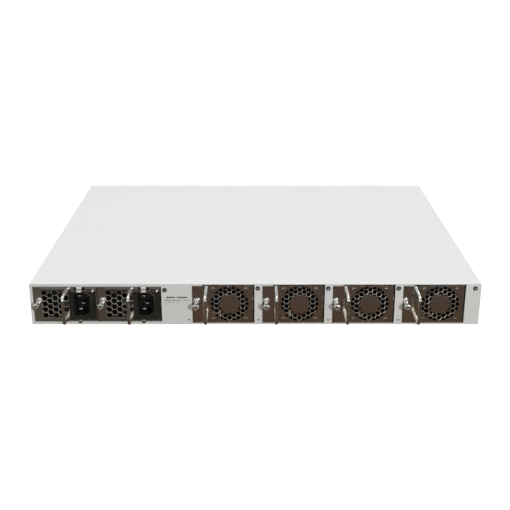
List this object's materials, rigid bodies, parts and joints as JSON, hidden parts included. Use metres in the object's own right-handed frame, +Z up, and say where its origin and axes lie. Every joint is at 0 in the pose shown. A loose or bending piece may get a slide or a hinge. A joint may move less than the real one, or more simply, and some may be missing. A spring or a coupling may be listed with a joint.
{
  "type": "rackmount network switch",
  "caption": "Rack-width low metal case with pull-out fan modules and power supplies at the rear, and stacked transceiver cages at the front.",
  "frame": {"origin": "bottom centre of the whole object's box, handles included", "axes": "+Z up, +X to the right when the fan and power supply side is faced, +Y from that side towards the port side"},
  "size_m": [0.443, 0.374, 0.0436],
  "materials": {
    "white_paint": "fine satin powder coat",
    "fan_plate": "dark brown-grey nickel, near mirror",
    "psu_plate": "dark grey nickel, near mirror",
    "chrome_wire": "polished",
    "bright_nickel": "satin with a knurl",
    "plain_steel": "satin",
    "pin_nickel": "satin",
    "zinc_steel": "zinc plated",
    "screen_steel": "matt black",
    "cage_steel": "bright stamped sheet",
    "black_plastic": "moulded",
    "button_plastic": "moulded",
    "light_pipe": "translucent",
    "dark_screw": "blackened steel",
    "board_green": "solder mask",
    "brass_post": "plain",
    "heatsink_alloy": "extruded"
  },
  "bodies": {
    "chassis": {"base_pan": "white_paint", "top_cover": "white_paint", "rear_panel": "white_paint", "front_panel": "white_paint", "vent_screens": "screen_steel", "bay_walls": "zinc_steel", "main_board": "board_green", "board_standoffs": "brass_post", "heatsinks": "heatsink_alloy", "module_sockets": "black_plastic", "qsfp_cages": "cage_steel", "sfp_cages": "cage_steel", "network_jacks": "black_plastic", "light_pipes": "light_pipe", "case_screws": "dark_screw"},
    "reset_button": {"reset_button": "button_plastic"},
    "fan_1_module": {"fan_1_faceplate": "fan_plate", "fan_1_tray": "zinc_steel", "fan_1_frame": "black_plastic", "fan_1_screws": "plain_steel", "fan_1_handle": "chrome_wire"},
    "fan_1_rotor": {"fan_1_rotor": "black_plastic"},
    "fan_1_thumbscrew": {"fan_1_thumbscrew": "bright_nickel"},
    "fan_2_module": {"fan_2_faceplate": "fan_plate", "fan_2_tray": "zinc_steel", "fan_2_frame": "black_plastic", "fan_2_screws": "plain_steel", "fan_2_handle": "chrome_wire"},
    "fan_2_rotor": {"fan_2_rotor": "black_plastic"},
    "fan_2_thumbscrew": {"fan_2_thumbscrew": "bright_nickel"},
    "fan_3_module": {"fan_3_faceplate": "fan_plate", "fan_3_tray": "zinc_steel", "fan_3_frame": "black_plastic", "fan_3_screws": "plain_steel", "fan_3_handle": "chrome_wire"},
    "fan_3_rotor": {"fan_3_rotor": "black_plastic"},
    "fan_3_thumbscrew": {"fan_3_thumbscrew": "bright_nickel"},
    "fan_4_module": {"fan_4_faceplate": "fan_plate", "fan_4_tray": "zinc_steel", "fan_4_frame": "black_plastic", "fan_4_screws": "plain_steel", "fan_4_handle": "chrome_wire"},
    "fan_4_rotor": {"fan_4_rotor": "black_plastic"},
    "fan_4_thumbscrew": {"fan_4_thumbscrew": "bright_nickel"},
    "psu_1_module": {"psu_1_faceplate": "psu_plate", "psu_1_case": "zinc_steel", "psu_1_inlet": "black_plastic", "psu_1_inlet_pins": "pin_nickel", "psu_1_board": "board_green", "psu_1_handle": "chrome_wire"},
    "psu_1_rotor": {"psu_1_rotor": "black_plastic"},
    "psu_1_thumbscrew": {"psu_1_thumbscrew": "bright_nickel"},
    "psu_2_module": {"psu_2_faceplate": "psu_plate", "psu_2_case": "zinc_steel", "psu_2_inlet": "black_plastic", "psu_2_inlet_pins": "pin_nickel", "psu_2_board": "board_green", "psu_2_handle": "chrome_wire"},
    "psu_2_rotor": {"psu_2_rotor": "black_plastic"},
    "psu_2_thumbscrew": {"psu_2_thumbscrew": "bright_nickel"}
  },
  "joints": [
    {"name": "reset_button_press", "type": "slide", "parent": "chassis", "child": "reset_button", "axis": [0, -1, 0], "range_m": [0, 0.001], "stiffness_N_per_m": 600, "springref_m": -0.0005},
    {"name": "fan_1_slide", "type": "slide", "parent": "chassis", "child": "fan_1_module", "axis": [0, -1, 0], "range_m": [0, 0.07]},
    {"name": "fan_1_rotor_spin", "type": "hinge", "parent": "fan_1_module", "child": "fan_1_rotor", "pos_m": [-0.0254, -0.138, 0.0219], "axis": [0, 1, 0], "continuous": true},
    {"name": "fan_1_thumbscrew_turn", "type": "hinge", "parent": "fan_1_module", "child": "fan_1_thumbscrew", "pos_m": [-0.0583, -0.168, 0.0213], "axis": [0, 1, 0], "continuous": true},
    {"name": "fan_2_slide", "type": "slide", "parent": "chassis", "child": "fan_2_module", "axis": [0, -1, 0], "range_m": [0, 0.07]},
    {"name": "fan_2_rotor_spin", "type": "hinge", "parent": "fan_2_module", "child": "fan_2_rotor", "pos_m": [0.0437, -0.138, 0.0219], "axis": [0, 1, 0], "continuous": true},
    {"name": "fan_2_thumbscrew_turn", "type": "hinge", "parent": "fan_2_module", "child": "fan_2_thumbscrew", "pos_m": [0.0108, -0.168, 0.0213], "axis": [0, 1, 0], "continuous": true},
    {"name": "fan_3_slide", "type": "slide", "parent": "chassis", "child": "fan_3_module", "axis": [0, -1, 0], "range_m": [0, 0.07]},
    {"name": "fan_3_rotor_spin", "type": "hinge", "parent": "fan_3_module", "child": "fan_3_rotor", "pos_m": [0.1128, -0.138, 0.0219], "axis": [0, 1, 0], "continuous": true},
    {"name": "fan_3_thumbscrew_turn", "type": "hinge", "parent": "fan_3_module", "child": "fan_3_thumbscrew", "pos_m": [0.0799, -0.168, 0.0213], "axis": [0, 1, 0], "continuous": true},
    {"name": "fan_4_slide", "type": "slide", "parent": "chassis", "child": "fan_4_module", "axis": [0, -1, 0], "range_m": [0, 0.07]},
    {"name": "fan_4_rotor_spin", "type": "hinge", "parent": "fan_4_module", "child": "fan_4_rotor", "pos_m": [0.1819, -0.138, 0.0219], "axis": [0, 1, 0], "continuous": true},
    {"name": "fan_4_thumbscrew_turn", "type": "hinge", "parent": "fan_4_module", "child": "fan_4_thumbscrew", "pos_m": [0.149, -0.168, 0.0213], "axis": [0, 1, 0], "continuous": true},
    {"name": "psu_1_slide", "type": "slide", "parent": "chassis", "child": "psu_1_module", "axis": [0, -1, 0], "range_m": [0, 0.16]},
    {"name": "psu_1_rotor_spin", "type": "hinge", "parent": "psu_1_module", "child": "psu_1_rotor", "pos_m": [-0.18365, -0.138, 0.0218], "axis": [0, 1, 0], "continuous": true},
    {"name": "psu_1_thumbscrew_turn", "type": "hinge", "parent": "psu_1_module", "child": "psu_1_thumbscrew", "pos_m": [-0.2141, -0.168, 0.022], "axis": [0, 1, 0], "continuous": true},
    {"name": "psu_2_slide", "type": "slide", "parent": "chassis", "child": "psu_2_module", "axis": [0, -1, 0], "range_m": [0, 0.16]},
    {"name": "psu_2_rotor_spin", "type": "hinge", "parent": "psu_2_module", "child": "psu_2_rotor", "pos_m": [-0.12055, -0.138, 0.0218], "axis": [0, 1, 0], "continuous": true},
    {"name": "psu_2_thumbscrew_turn", "type": "hinge", "parent": "psu_2_module", "child": "psu_2_thumbscrew", "pos_m": [-0.151, -0.168, 0.022], "axis": [0, 1, 0], "continuous": true}
  ]
}
